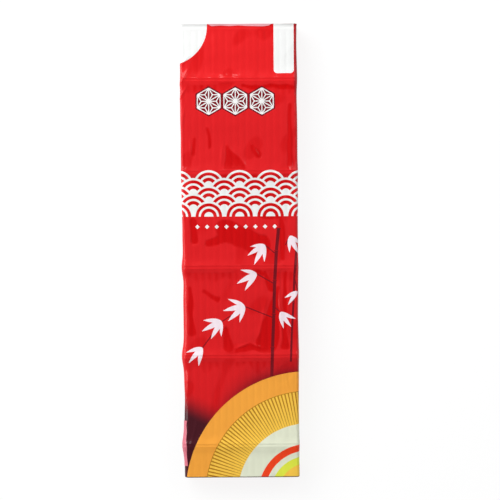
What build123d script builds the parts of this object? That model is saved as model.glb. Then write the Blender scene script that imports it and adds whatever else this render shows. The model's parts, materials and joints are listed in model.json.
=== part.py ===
from build123d import *
import os

# A bamboo rolling mat folded in four layers inside a printed film sleeve.
# The pack lies on its back: X across, Y along the slats, Z out of the printed front.

# Driving dimensions in millimetres
slat_length = 240.0
slat_thickness = 1.6
slats_per_fold = 16
twine_diameter = 0.8
twine_clearance = 0.1
layer_clearance = 0.45
fold_clearance = 0.1
film_wall = 0.25
film_slack = 0.3
film_corner_radius = 1.8
lap_seam_width = 9.0
lap_seam_clearance = 0.2
end_clearance = 0.75
mouth_overhang = 3.0
knot_depth = 1.3
knot_width = 2.6
knot_height = 2.2
knot_chamfer = 0.4
tail_length = 6.0
cut_overrun = 1.0

# Places of the twine rows, from the closed end, as shares of the slat length
row_shares = (0.069, 0.268, 0.468, 0.681, 0.888)

# The gap between two slats is what the crossing twine fills
slat_gap = twine_diameter + 2 * twine_clearance
# The slats that stand on edge at the fold lines space the layers apart
slat_width = slat_thickness + 2 * twine_diameter + layer_clearance - slat_gap
slat_pitch = slat_width + slat_gap
# Slat edges are bevelled so that neighbours can fold square to each other
slat_bevel = (slat_thickness - slat_gap) / 2 + fold_clearance * 2**0.5
strap_level = (slat_thickness + twine_diameter) / 2
mat_half_thickness = slat_thickness / 2 + twine_diameter
fold_length = slats_per_fold * slat_pitch
strand_offset = twine_diameter / 2 + twine_clearance

# The sleeve is sized from the folded mat
mat_base = film_wall * 2 + lap_seam_clearance + mat_half_thickness
mat_top = mat_base + 3 * slat_pitch + mat_half_thickness
sleeve_inner_width = fold_length + 2 * (mat_half_thickness + film_slack)
sleeve_width = sleeve_inner_width + 2 * film_wall
sleeve_height = mat_top + film_slack + film_wall
sleeve_length = film_wall + end_clearance + slat_length + mouth_overhang
closed_end = -sleeve_length / 2
slat_start = closed_end + film_wall + end_clearance
row_places = [slat_start + share * slat_length for share in row_shares]

# Each layer or edge slat of the folded chain: its name, its number of slats,
# its turn from the X axis in degrees, where its chain starts, and the side, 1 for
# its top face and -1 for its under face, that its two fold lines close towards
half_fold = fold_length / 2
chain = (
    ("fold_1", slats_per_fold, 0, (-half_fold, mat_base), None, 1),
    ("edge_1", 1, 90, (half_fold, mat_base), 1, 1),
    ("fold_2", slats_per_fold, 180, (half_fold, mat_base + slat_pitch), 1, -1),
    ("edge_2", 1, 90, (-half_fold, mat_base + slat_pitch), -1, -1),
    ("fold_3", slats_per_fold, 0, (-half_fold, mat_base + 2 * slat_pitch), -1, 1),
    ("edge_3", 1, 90, (half_fold, mat_base + 2 * slat_pitch), 1, 1),
    ("fold_4", slats_per_fold, 180, (half_fold, mat_base + 3 * slat_pitch), 1, None),
)


def chain_plane(start, turn, y):
    """The plane across the slats at y: along the chain, then out of its top face."""
    along = Vector(1, 0, 0).rotate(Axis.Y, -turn)
    return Plane((start[0], y, start[1]), x_dir=along, z_dir=(0, -1, 0))


def save(part, name):
    """Label one finished sub-part and write it."""
    part.label = name
    export_step(part, f"parts/{name}.step")


def make_slats(name, count, turn, start):
    """A run of equal bamboo strips with bevelled edges."""
    with BuildPart() as slats:
        with BuildSketch(chain_plane(start, turn, slat_start)):
            with Locations(*[((i + 0.5) * slat_pitch, 0) for i in range(count)]):
                Rectangle(slat_width, slat_thickness)
            chamfer(vertices(), length=slat_bevel)
        extrude(amount=-slat_length)
    save(slats.part, f"{name}_slats")


def hinge_eye(place, side):
    """Twine that rises from the outer side of the end slat to the fold line."""
    with Locations((place, side * mat_half_thickness / 2)):
        Rectangle(twine_diameter, mat_half_thickness)
    with Locations((place, 0)):
        RegularPolygon(twine_diameter / 2, 8, major_radius=False, rotation=22.5)


def mitre(place, inward, side):
    """Cuts the twine on the inner side of a fold line at half the square corner."""
    reach = mat_half_thickness + cut_overrun
    Polygon(
        (place - inward * cut_overrun, 0),
        (place + inward * fold_clearance, 0),
        (place + inward * (reach + fold_clearance), side * reach),
        (place - inward * cut_overrun, side * reach),
        align=None,
        mode=Mode.SUBTRACT,
    )


def strand_sketch(count, first_side, start_fold, end_fold):
    """One strand seen from the slats' ends, weaving from face to face."""
    sides = [first_side * (-1) ** i for i in range(count)]
    strap_places = [((i + 0.5) * slat_pitch, s * strap_level) for i, s in enumerate(sides)]
    with Locations(*strap_places):
        Rectangle(slat_pitch + twine_diameter, twine_diameter)
    if count > 1:
        with Locations(*[(i * slat_pitch, 0) for i in range(1, count)]):
            Rectangle(twine_diameter, 2 * mat_half_thickness)
    ends = ((0, 1, sides[0], start_fold), (count * slat_pitch, -1, sides[-1], end_fold))
    for place, inward, side, fold_side in ends:
        if fold_side is None:
            with Locations((place, side * mat_half_thickness / 2)):
                Rectangle(twine_diameter, mat_half_thickness)
        elif side == fold_side:
            mitre(place, inward, side)
        else:
            hinge_eye(place, side)


def make_twine(name, row, count, first_slat, turn, start, folds):
    """The two strands of one row on one layer, side by side along the slats."""
    first_side = 1 if first_slat % 2 == 0 else -1
    with BuildPart() as twine:
        for strand_side in (1, -1):
            y = row_places[row] + strand_side * strand_offset
            with BuildSketch(chain_plane(start, turn, y)):
                strand_sketch(count, first_side * strand_side, *folds)
            extrude(amount=twine_diameter / 2, both=True)
    save(twine.part, f"{name}_twine_{row + 1}")


def make_knots(name, start, turn, inward, place):
    """The tied ends of all five rows at one free edge of the mat."""
    centre = place - inward * (twine_diameter + knot_depth) / 2
    with BuildPart() as knots:
        for row_place in row_places:
            with BuildSketch(chain_plane(start, turn, row_place)):
                with Locations((centre, 0)):
                    Rectangle(knot_depth, knot_height)
                chamfer(vertices(), length=knot_chamfer)
            extrude(amount=knot_width / 2, both=True)
            with BuildSketch(chain_plane(start, turn, row_place)):
                with Locations((centre, 0)):
                    RegularPolygon(twine_diameter / 2, 6)
            extrude(amount=knot_width / 2 + tail_length, both=True)
    save(knots.part, f"{name}_knots")


def make_film_front():
    """The sleeve's printed front, its sides, its rounded edges and its closed end."""
    with BuildPart() as film:
        with BuildSketch(Plane.XZ.offset(-closed_end)):
            with Locations((0, sleeve_height / 2)):
                RectangleRounded(sleeve_width, sleeve_height, film_corner_radius)
        extrude(amount=-sleeve_length)
        with BuildSketch(Plane.XZ.offset(-closed_end - film_wall)):
            with Locations((0, sleeve_height / 2)):
                inner_radius = film_corner_radius - film_wall
                RectangleRounded(sleeve_inner_width, sleeve_height - 2 * film_wall, inner_radius)
        extrude(amount=-sleeve_length, mode=Mode.SUBTRACT)
        with BuildSketch(Plane.XY):
            with Locations((0, film_wall / 2)):
                Rectangle(sleeve_width - 2 * film_corner_radius, sleeve_length - film_wall)
        extrude(amount=film_wall, mode=Mode.SUBTRACT)
    save(film.part, "film_front")


def make_film_back():
    """The flat back panel that the pack lies on, with its lengthwise lap seam inside."""
    with BuildPart() as film:
        with BuildSketch(Plane.XY):
            with Locations((0, film_wall / 2)):
                Rectangle(sleeve_width - 2 * film_corner_radius, sleeve_length - film_wall)
        extrude(amount=film_wall)
        with BuildSketch(Plane.XY.offset(film_wall)):
            with Locations((0, film_wall / 2)):
                Rectangle(lap_seam_width, sleeve_length - film_wall)
        extrude(amount=film_wall)
    save(film.part, "film_back")


os.makedirs("parts", exist_ok=True)
first_slat = 0
for name, count, turn, start, start_fold, end_fold in chain:
    make_slats(name, count, turn, start)
    for row in range(len(row_shares)):
        make_twine(name, row, count, first_slat, turn, start, (start_fold, end_fold))
    first_slat += count
fold_1_turn, fold_1_start = chain[0][2], chain[0][3]
fold_4_turn, fold_4_start = chain[-1][2], chain[-1][3]
make_knots("fold_1", fold_1_start, fold_1_turn, 1, 0)
make_knots("fold_4", fold_4_start, fold_4_turn, -1, fold_length)
make_film_front()
make_film_back()
print("folded pack", round(sleeve_width, 2), round(sleeve_length, 2), round(sleeve_height, 2))
print("slat width and pitch", round(slat_width, 3), round(slat_pitch, 3))
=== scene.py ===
import json
import math

import bpy
import numpy as np
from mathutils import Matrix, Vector
from mathutils.geometry import delaunay_2d_cdt

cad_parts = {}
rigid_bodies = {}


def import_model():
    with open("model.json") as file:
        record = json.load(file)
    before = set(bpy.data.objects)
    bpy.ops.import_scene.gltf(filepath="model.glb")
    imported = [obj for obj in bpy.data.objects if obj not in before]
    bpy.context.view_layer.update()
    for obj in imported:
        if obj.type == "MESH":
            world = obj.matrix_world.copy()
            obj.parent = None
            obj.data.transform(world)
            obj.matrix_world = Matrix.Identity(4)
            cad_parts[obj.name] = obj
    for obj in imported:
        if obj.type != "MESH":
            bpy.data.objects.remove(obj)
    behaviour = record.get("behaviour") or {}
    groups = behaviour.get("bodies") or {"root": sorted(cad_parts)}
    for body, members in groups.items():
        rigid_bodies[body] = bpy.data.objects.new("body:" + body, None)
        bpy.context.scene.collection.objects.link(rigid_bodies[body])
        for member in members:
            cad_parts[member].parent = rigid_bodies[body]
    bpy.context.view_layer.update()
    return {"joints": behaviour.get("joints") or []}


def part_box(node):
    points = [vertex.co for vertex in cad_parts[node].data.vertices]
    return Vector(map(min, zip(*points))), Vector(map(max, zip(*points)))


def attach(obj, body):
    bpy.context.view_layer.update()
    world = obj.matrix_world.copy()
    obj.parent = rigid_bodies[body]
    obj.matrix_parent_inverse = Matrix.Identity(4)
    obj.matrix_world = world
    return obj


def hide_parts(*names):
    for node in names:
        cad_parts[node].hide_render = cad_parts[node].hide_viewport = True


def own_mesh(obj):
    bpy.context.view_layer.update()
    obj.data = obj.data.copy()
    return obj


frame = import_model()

bl_info = {
    "name": "Bamboo Rolling Mat in its Film Sleeve",
    "version": (1, 0, 0),
    "blender": (4, 5, 0),
    "location": "View3D > Sidebar > Rolling Mat",
    "description": "Dresses a folded bamboo rolling mat and its printed sleeve",
    "category": "Object",
}

MM = 0.001


def linear(hex_colour):
    """An sRGB hex colour as the linear colour that Blender's sockets hold."""
    parts = [int(hex_colour[i : i + 2], 16) / 255 for i in (1, 3, 5)]
    return tuple(p / 12.92 if p <= 0.04045 else ((p + 0.055) / 1.055) ** 2.4 for p in parts)


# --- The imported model: layers of slats joined by fold lines, and the sleeve's box ---


def box(node):
    """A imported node's lowest and highest corner as arrays, in metres."""
    low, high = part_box(node)
    return np.array(low), np.array(high)


SLAT_LOW, SLAT_HIGH = box("edge_1_slats")
SLAT_THICKNESS = SLAT_HIGH[0] - SLAT_LOW[0]
SLAT_WIDTH = SLAT_HIGH[2] - SLAT_LOW[2]
LAYER_LOW, LAYER_HIGH = box("fold_1_slats")
LAYER_SLATS = 16
PITCH = (LAYER_HIGH[0] - LAYER_LOW[0] - SLAT_WIDTH) / (LAYER_SLATS - 1)
SLAT_GAP = PITCH - SLAT_WIDTH
ROWS = [sum(box(f"fold_1_twine_{row}"))[1] / 2 for row in range(1, 6)]
ROW_DEPTH = box("fold_1_twine_1")[1][1] - box("fold_1_twine_1")[0][1]

FOLD_LINES = [joint for joint in frame["joints"] if joint["type"] == "hinge"]
BODIES = [FOLD_LINES[0]["parent"]] + [joint["child"] for joint in FOLD_LINES]
FREE_EDGE = LAYER_LOW[0] - SLAT_GAP / 2
CORNERS = [(joint["pos_m"][0], joint["pos_m"][2]) for joint in FOLD_LINES]
CORNERS = [(FREE_EDGE, CORNERS[0][1]), *CORNERS, (FREE_EDGE, CORNERS[-1][1])]

SLEEVE_LOW, SLEEVE_HIGH = box("film_front")
CLOSED_END, MOUTH = SLEEVE_LOW[1], SLEEVE_HIGH[1]
TOP_SLATS = box("fold_4_slats")[1][2]
TOP_TWINE = box("fold_4_twine_1")[1][2]


class Run:
    """One layer or edge slat of the folded chain, seen along the slats."""

    def __init__(self, index):
        start, end = np.array(CORNERS[index]), np.array(CORNERS[index + 1])
        length = np.linalg.norm(end - start)
        self.body = BODIES[index]
        self.start = start
        self.along = (end - start) / length
        self.out = np.array((-self.along[1], self.along[0]))
        self.count = round(length / PITCH)
        self.length = length

    def place(self, s, y, n):
        """Points from the place along the chain, along the slats and off its middle."""
        s, y, n = np.broadcast_arrays(s, y, n)
        x = self.start[0] + s * self.along[0] + n * self.out[0]
        z = self.start[1] + s * self.along[1] + n * self.out[1]
        return np.stack((x, y, z), axis=-1)


RUNS = [Run(index) for index in range(len(BODIES))]
FIRST_SLATS = np.cumsum([0] + [run.count for run in RUNS])


def inner_side(index):
    """The side, 1 or -1, that the fold line after this run closes towards."""
    (a, b), (c, d) = RUNS[index].along, RUNS[index + 1].along
    return 1 if a * d - b * c > 0 else -1


# --- Settings ---


def length(name, description, millimetres):
    """A length that a user may change."""
    return bpy.props.FloatProperty(
        name=name, description=description, default=millimetres * MM, min=0, precision=5, unit="LENGTH"
    )


def colour(name, description, hex_colour):
    """A colour that a user may change."""
    return bpy.props.FloatVectorProperty(
        name=name, description=description, subtype="COLOR", size=3, min=0, max=1, default=linear(hex_colour)
    )


class MatSettings(bpy.types.PropertyGroup):
    edge_round: length("Slat edge radius", "Rounding along the edges of each strip", 0.42)
    node_swell: length("Culm node swell", "How far a culm node stands out of the bark face", 0.07)
    strand_width: length("Strand width", "Width over the plies of one twine strand", 0.8)
    ply_twist: length("Twist length", "Length in which the plies go once round", 3.0)
    knot_width: length("Knot width", "Size of a tied knot along the slats", 2.5)
    tail_length: length("Tail length", "Free twine beyond each knot", 6.0)
    bamboo: colour("Bamboo", "Colour of the planed strips", "#E6CB90")
    bamboo_dark: colour("Bamboo fibre", "Colour of the darker fibres and culm nodes", "#B98A45")
    twine: colour("Twine", "Colour of the unbleached cotton", "#F1EAD8")


class FilmSettings(bpy.types.PropertyGroup):
    thickness: length("Film thickness", "Wall of the sleeve's film, drawn a little stout", 0.08)
    edge_round: length("Edge radius", "How tightly the film turns at the pack's long edges", 1.7)
    rib_depth: length("Rib depth", "How far the film dips between two slats", 0.1)
    ridge_height: length("Twine ridge", "How far a twine row lifts the film", 0.8)
    seam_width: length("Lap seam", "Overlap of the film along the back", 9.0)


class PrintSettings(bpy.types.PropertyGroup):
    ground: colour("Ground", "Red flexographic ink of the ground", "#E71F23")
    # The deep ground stands for the film where it lies tight. The step from the ground to it is painted
    # sheen and shade: the ink is lighter and hazier where air lies under the film.
    red_without_sheen: colour("Deep ground", "The ground where the film lies tight on the slats", "#D50305")
    white: colour("White", "Opaque white ink", "#F4F5F4")
    # Maroon also darkens the ground at the right edge and over the lower half, as painted shade.
    maroon: colour("Maroon", "Dark ink of stems and shading", "#7A141F")
    # Dark maroon also inks the band over the closed end, which is partly painted shade of the fold.
    dark: colour("Dark maroon", "Darkest shading at the foot", "#4A1822")
    petal: colour("Petal white", "Pinkish white of the leaves", "#FBEBF3")
    orange: colour("Orange", "Outer leaf of the fan", "#FCAA42")
    gold: colour("Gold", "Ribs of the fan", "#FFCE50")
    brass: colour("Brass", "Shaded sides of the ribs", "#B67A20")
    cream: colour("Cream", "Inner leaf of the fan", "#EBEFD6")
    vermilion: colour("Vermilion", "Narrow band in the fan", "#FB4822")
    lime: colour("Lime", "Narrow band in the fan", "#E8F04C")
    reverse: colour("Film reverse", "Unprinted side of the film, pink with the ink behind it", "#DA7686")
    # Its pale pink is a painted highlight, for the light that the curled edge catches.
    rim: colour("Cut edge", "Curled cut edge of the mouth, where the film catches the light", "#F6B4BD")


# --- Meshes and materials ---


def make_object(name, points, faces, materials, face_materials=None):
    """A smooth mesh object from points and faces in metres."""
    mesh = bpy.data.meshes.new(name)
    mesh.from_pydata(np.asarray(points).tolist(), [], [list(face) for face in faces])
    for material in materials:
        mesh.materials.append(material)
    if face_materials is not None:
        mesh.polygons.foreach_set("material_index", np.asarray(face_materials, dtype=np.int32))
    mesh.polygons.foreach_set("use_smooth", np.full(len(mesh.polygons), True))
    mesh.update()
    piece = bpy.data.objects.new(name, mesh)
    bpy.context.scene.collection.objects.link(piece)
    return piece


def mark_points(piece, name, values):
    """Stores one number at each point for the materials to read."""
    attribute = piece.data.attributes.new(name, "FLOAT", "POINT")
    attribute.data.foreach_set("value", np.asarray(values, dtype=np.float32))


def add(tree, kind, inputs=None, **settings):
    """Adds a node with its settings; an input that is a socket is linked, any other is set."""
    node = tree.nodes.new("ShaderNode" + kind)
    for name, value in settings.items():
        setattr(node, name, value)
    for name, value in (inputs or {}).items():
        if isinstance(value, bpy.types.NodeSocket):
            tree.links.new(value, node.inputs[name])
        else:
            node.inputs[name].default_value = value
    return node


def new_material(name):
    """An empty node material and its tree."""
    material = bpy.data.materials.new(name)
    material.use_nodes = True
    material.node_tree.nodes.clear()
    return material, material.node_tree


def rgba(colour_value):
    """A colour setting with an alpha of 1."""
    return (*colour_value, 1.0)


def scaled_place(tree, across, along, up):
    """Object coordinates counted in patterns of these sizes, in metres."""
    place = add(tree, "TexCoord")
    counts = (1 / across, 1 / along, 1 / up)
    return add(tree, "Mapping", {"Vector": place.outputs["Object"], "Scale": counts}).outputs[0]


def bamboo_material(settings):
    """Planed bamboo strip: straw colour with long darker fibres, matt with a faint sheen."""
    material, tree = new_material("bamboo_strip")
    fibre_place = scaled_place(tree, 0.35 * MM, 14 * MM, 0.35 * MM)
    fibre = add(tree, "TexNoise", {"Vector": fibre_place, "Scale": 1.0, "Detail": 3.0}).outputs[0]
    streak_place = scaled_place(tree, 1.6 * MM, 60 * MM, 1.6 * MM)
    streaks = add(tree, "TexNoise", {"Vector": streak_place, "Scale": 1.0}).outputs[0]
    grain = add(tree, "MapRange", {"Value": fibre, "From Min": 0.42, "From Max": 0.72})
    share = add(tree, "Math", {0: grain.outputs[0], 1: 0.55}, operation="MULTIPLY")
    share = add(tree, "Math", {0: streaks, 1: 0.35, 2: share.outputs[0]}, operation="MULTIPLY_ADD")
    for name, clamp in (("tone", False), ("culm_node", True)):
        mark = add(tree, "Attribute", attribute_name=name).outputs["Fac"]
        share = add(tree, "Math", {0: mark, 1: share.outputs[0]}, operation="ADD", use_clamp=clamp)
    colours = {0: share.outputs[0], 6: rgba(settings.bamboo), 7: rgba(settings.bamboo_dark)}
    base = add(tree, "Mix", colours, data_type="RGBA").outputs[2]
    bump = add(tree, "Bump", {"Height": fibre, "Strength": 0.35, "Distance": 0.06 * MM})
    planed = {"Roughness": 0.52, "IOR": 1.5}
    surface = add(tree, "BsdfPrincipled", {"Base Color": base, "Normal": bump.outputs[0], **planed})
    add(tree, "OutputMaterial", {"Surface": surface.outputs[0]})
    return material


def sawn_end_material(settings):
    """Sawn bamboo end: the cut fibre bundles show as dark dots in pale pith."""
    material, tree = new_material("bamboo_sawn_end")
    place = scaled_place(tree, 0.3 * MM, 0.3 * MM, 0.3 * MM)
    bundles = add(tree, "TexVoronoi", {"Vector": place, "Scale": 1.0})
    share = add(tree, "MapRange", {"Value": bundles.outputs[0], "From Min": 0.45, "From Max": 0.2})
    colours = {0: share.outputs[0], 6: rgba(settings.bamboo), 7: rgba(settings.bamboo_dark)}
    base = add(tree, "Mix", colours, data_type="RGBA").outputs[2]
    surface = add(tree, "BsdfPrincipled", {"Base Color": base, "Roughness": 0.8})
    add(tree, "OutputMaterial", {"Surface": surface.outputs[0]})
    return material


def twine_material(settings):
    """Twisted cotton twine: soft, unbleached, with short fibres across the plies."""
    material, tree = new_material("cotton_twine")
    fluff_place = scaled_place(tree, 0.12 * MM, 0.12 * MM, 0.12 * MM)
    fluff = add(tree, "TexNoise", {"Vector": fluff_place, "Scale": 1.0}).outputs[0]
    wear_place = scaled_place(tree, 5 * MM, 5 * MM, 5 * MM)
    wear = add(tree, "TexNoise", {"Vector": wear_place, "Scale": 1.0}).outputs[0]
    darker = tuple(part * 0.72 for part in settings.twine)
    share = add(tree, "Math", {0: fluff, 1: wear}, operation="MULTIPLY")
    share = add(tree, "MapRange", {"Value": share.outputs[0], "From Min": 0.15, "From Max": 0.4})
    colours = {0: share.outputs[0], 6: rgba(darker), 7: rgba(settings.twine)}
    base = add(tree, "Mix", colours, data_type="RGBA").outputs[2]
    bump = add(tree, "Bump", {"Height": fluff, "Strength": 0.5, "Distance": 0.05 * MM})
    fibres = {"Roughness": 0.9, "Sheen Weight": 0.3}
    surface = add(tree, "BsdfPrincipled", {"Base Color": base, "Normal": bump.outputs[0], **fibres})
    add(tree, "OutputMaterial", {"Surface": surface.outputs[0]})
    return material


def film_material(ink, colours):
    """Reverse-printed polypropylene film: ink seen through a smooth, clear, glossy face."""
    material, tree = new_material(f"printed_film_{ink}")
    plain = getattr(colours, ink)
    # Each ink turns deeper by the cling share. This is a painted sheen and shade of the film: lighter where
    # air lies under it, deeper where it lies tight and over the slats' crowns. The ground also takes the
    # shade share and the print's dark foot. The shade share is print above the fan, and painted shade at the
    # right edge and over the lower half.
    deeper = colours.red_without_sheen if ink == "ground" else [0.95 * part for part in plain]
    layers = [("cling", deeper)]
    if ink == "ground":
        layers += [("shade", colours.maroon), ("foot_shade", colours.dark)]
    base = rgba(plain)
    for name, tint in layers:
        mark = add(tree, "Attribute", attribute_name=name).outputs["Fac"]
        base = add(tree, "Mix", {0: mark, 6: base, 7: rgba(tint)}, data_type="RGBA").outputs[2]
    # Uneven stretch of the film, which breaks up its reflections
    swell_place = scaled_place(tree, 2.5 * MM, 4 * MM, 2.5 * MM)
    swell = add(tree, "TexNoise", {"Vector": swell_place, "Scale": 1.0}).outputs[0]
    bump = add(tree, "Bump", {"Height": swell, "Strength": 0.25, "Distance": 0.04 * MM})
    sheet = {"Roughness": 0.36, "IOR": 1.49, "Specular IOR Level": 0.1}
    gloss = {"Coat Weight": 0.4, "Coat Roughness": 0.08}
    face = {"Base Color": base, "Normal": bump.outputs[0], **sheet, **gloss}
    surface = add(tree, "BsdfPrincipled", face)
    add(tree, "OutputMaterial", {"Surface": surface.outputs[0]})
    return material


# --- The mat: slats, twine and knots ---

PLIES = 3
STRAND_SIDES = 12
STRAND_STEP = 0.33 * MM
LOOSE_FIBRES = 6


def slat_ring(radius):
    """A strip's section, across its width and thickness, with rounded edges."""
    half_width, half_thickness = SLAT_WIDTH / 2, SLAT_THICKNESS / 2
    ring = []
    for across, up, first in ((1, 1, 0), (-1, 1, 90), (-1, -1, 180), (1, -1, 270)):
        for angle in (first, first + 45, first + 90):
            turn = math.radians(angle)
            ring.append(
                (
                    across * (half_width - radius) + radius * math.cos(turn),
                    up * (half_thickness - radius) + radius * math.sin(turn),
                )
            )
    return np.array(ring)


def tube_faces(rings, ring_size, first):
    """Quads of a tube of equal rings, and its two ends; first is its first point's number."""
    i, j = np.meshgrid(np.arange(rings - 1), np.arange(ring_size), indexing="ij")
    k = (j + 1) % ring_size
    quads = np.stack((i, i, i + 1, i + 1), -1) * ring_size + np.stack((j, k, k, j), -1)
    faces = (quads.reshape(-1, 4) + first).tolist()
    faces.append((first + np.arange(ring_size)[::-1]).tolist())
    faces.append((first + (rings - 1) * ring_size + np.arange(ring_size)).tolist())
    return faces


def slat_run(run, first_slat, settings):
    """Points, faces, face materials, tones and culm-node marks of one layer's strips."""
    ring = slat_ring(settings.edge_round)
    size = len(ring)
    points, faces, face_materials, tones, nodes = [], [], [], [], []
    for number in range(run.count):
        draw = np.random.default_rng(100 + first_slat + number)
        node_place = draw.uniform(0.12, 0.88) * (SLAT_HIGH[1] - SLAT_LOW[1]) + SLAT_LOW[1]
        around_node = node_place + np.array((-2.2, -1.2, -0.5, 0, 0.5, 1.2, 2.2)) * MM
        plain = np.linspace(SLAT_LOW[1] + 1 * MM, SLAT_HIGH[1] - 1 * MM, 22)
        plain = plain[np.abs(plain - node_place) > 3 * MM]
        ends = np.array((0, 0.25)) * MM
        y = np.concatenate((SLAT_LOW[1] + ends, plain, around_node, SLAT_HIGH[1] - ends))
        y.sort()
        swell = bell(y - node_place, 0.8 * MM)
        chamfer = 1 - 0.08 * (np.minimum(y - SLAT_LOW[1], SLAT_HIGH[1] - y) < 0.1 * MM)
        width = chamfer * (1 - 0.012 * (1 + np.sin(y / (31 * MM) + draw.uniform(0, 6))))
        thickness = chamfer * (1 - 0.02 * (1 + np.sin(y / (47 * MM) + draw.uniform(0, 6))))
        bow = draw.uniform(-0.03, 0.03) * MM * np.sin((y - SLAT_LOW[1]) / (76 * MM))
        centre = (number + 0.5) * PITCH + bow
        across = centre[:, None] + ring[None, :, 0] * width[:, None]
        up = ring[None, :, 1] * thickness[:, None]
        up = up + settings.node_swell * swell[:, None] * (ring[None, :, 1] > 0)
        first = sum(len(block) for block in points)
        points.append(run.place(across, y[:, None], up).reshape(-1, 3))
        new_faces = tube_faces(len(y), size, first)
        faces += new_faces
        face_materials += [0] * (len(new_faces) - 2) + [1, 1]
        tones.append(np.full(len(y) * size, draw.uniform(-0.22, 0.22)))
        nodes.append(np.repeat(0.75 * bell(y - node_place, 0.6 * MM), size))
    return np.concatenate(points), faces, face_materials, np.concatenate(tones), np.concatenate(nodes)


def strand_line(run, index, first_side):
    """One strand along a run: places along the chain, places off its middle, and radii."""
    strap = (TOP_TWINE - TOP_SLATS + SLAT_THICKNESS) / 2
    radius = (TOP_TWINE - TOP_SLATS) / 2
    s = np.linspace(0, run.length, max(int(run.length / STRAND_STEP), 12))
    wave = np.sin(np.pi * s / PITCH)
    n = first_side * strap * np.tanh(3 * wave)
    thick = np.full(len(s), radius)
    for corner, distance in ((index - 1, s), (index, run.length - s)):
        if not 0 <= corner < len(RUNS) - 1:
            continue
        near = distance < PITCH / 2
        side = np.sign(n[near][len(n[near]) // 2])
        if side == inner_side(corner):
            pinched = np.minimum(np.abs(n[near]), strap * np.tanh(distance[near] / strap))
            n[near] = side * pinched
            room = (distance[near] - pinched) / math.sqrt(2)
            thick[near] = np.clip(room, 0.5 * radius, radius)
    return s, n, thick


def twisted_tube(line, across, radius, twist_length, sides):
    """Rings round a line, with lobed sections that turn along it like plies."""
    steps = np.linalg.norm(np.diff(line, axis=0), axis=1)
    travelled = np.concatenate(([0], np.cumsum(steps)))
    tangent = unit(np.gradient(line, axis=0))
    across = unit(across - (tangent @ across)[:, None] * tangent)
    up = np.cross(tangent, across)
    angle = np.linspace(0, 2 * np.pi, sides, endpoint=False)[None, :]
    turn = angle - 2 * np.pi * travelled[:, None] / twist_length
    lobe = 0.8 + 0.2 * np.abs(np.cos(PLIES * turn / 2))
    reach = radius[:, None] * lobe
    ring = across[:, None] * (reach * np.cos(angle))[..., None]
    ring = ring + up[:, None] * (reach * np.sin(angle))[..., None]
    return (line[:, None] + ring).reshape(-1, 3)


def rounded_ends(radius, line, reach):
    """Thins a tube's radius to a round cap over its first and last stretch."""
    steps = np.linalg.norm(np.diff(line, axis=0), axis=1)
    travelled = np.concatenate(([0], np.cumsum(steps)))
    left = np.minimum(travelled, travelled[-1] - travelled)
    share = np.clip(left / reach, 0, 1)
    return radius * np.sqrt(np.maximum(1 - (1 - share) ** 2, 0.04))


def twine_run(run, index, first_slat, settings):
    """Points and faces of all ten strands of one run."""
    points, faces = [], []
    for row, y in enumerate(ROWS):
        for strand_side in (1, -1):
            first_side = strand_side if first_slat % 2 == 0 else -strand_side
            s, n, thick = strand_line(run, index, first_side)
            offset = strand_side * (ROW_DEPTH - settings.strand_width) / 2
            sway = 0.04 * MM * np.sin(s / (6 * MM) + row + strand_side)
            line = run.place(s, y + offset + sway * (s > 0) * (s < run.length), n)
            radius = rounded_ends(thick, line, 0.25 * MM)
            first = sum(len(block) for block in points)
            across = np.array((0.0, 1.0, 0.0))
            points.append(twisted_tube(line, across, radius, settings.ply_twist, STRAND_SIDES))
            faces += tube_faces(len(line), STRAND_SIDES, first)
    return np.concatenate(points), faces


def knot_line(centre, settings):
    """A tight overhand knot's closed line, flattened against the end slat, and its radius."""
    turn = np.linspace(0, 2 * np.pi, 72)
    radius = settings.strand_width * 0.42
    across = (settings.knot_width / 2 - radius) / 3 * (np.sin(turn) + 2 * np.sin(2 * turn))
    up = 0.26 * MM * (np.cos(turn) - 2 * np.cos(2 * turn))
    deep = 0.3 * MM * np.sin(3 * turn)
    return centre + np.stack((deep, across, up), -1), radius


def knot_set(run, at_start, settings):
    """Points and faces of the five tied ends, with their tails and loose fibres."""
    points, faces = [], []
    edge = run.place(0 if at_start else run.length, 0, 0)

    def add_tube(line, radius, sides=10):
        first = sum(len(block) for block in points)
        across = np.array((1.0, 0.0, 0.02))
        points.append(twisted_tube(line, across, radius, settings.ply_twist, sides))
        faces.extend(tube_faces(len(line), sides, first))

    for row, y in enumerate(ROWS):
        draw = np.random.default_rng(700 + row + 50 * at_start)
        centre = edge + np.array((-1.05 * MM, y, 0))
        line, radius = knot_line(centre, settings)
        add_tube(line, np.full(len(line), radius))
        for side in (1, -1):
            share = np.linspace(0, 1, 22)
            reach = settings.knot_width * 0.3 + share * (settings.tail_length + draw.uniform(-1.2, 0.6) * MM)
            sag = -draw.uniform(0.1, 0.5) * MM * share**2
            sway = draw.uniform(-0.12, 0.12) * MM * np.sin(3 * share) + 0.5 * MM * smooth(2 * share)
            tail = centre + np.stack((sway, side * reach, sag), -1)
            add_tube(tail, rounded_ends(np.full(len(tail), radius * 0.95), tail, 0.3 * MM))
            for _ in range(LOOSE_FIBRES):
                spread = draw.uniform(-0.28, 0.28, 2) * MM
                share = np.linspace(0, 1, 6)
                start = tail[-2] + np.array((spread[0] * 0.5, 0, spread[1] * 0.5))
                hair = start + np.stack(
                    (spread[0] * share, side * 0.9 * MM * share, spread[1] * share - 0.1 * MM * share**2), -1
                )
                add_tube(hair, 0.07 * MM * (1 - 0.6 * share), 5)
    return np.concatenate(points), faces


# --- The sleeve's film: where it runs round the pack, and its relief ---

# The sheet is laid out flat as u, round the pack from the middle of the front,
# and y along the slats. SHEET_HALF reaches under the pack's edge on each side.
SHEET_HALF = 47 * MM

# The film lies this far over the slats and over the floor, and turns this tightly
# under the pack, where it reaches a little way in
TOP_AIR = 0.2 * MM
REST_LEVEL = 0.06 * MM
FOOT_ROUND = 1.0 * MM
TUCK = 1.6 * MM

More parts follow.
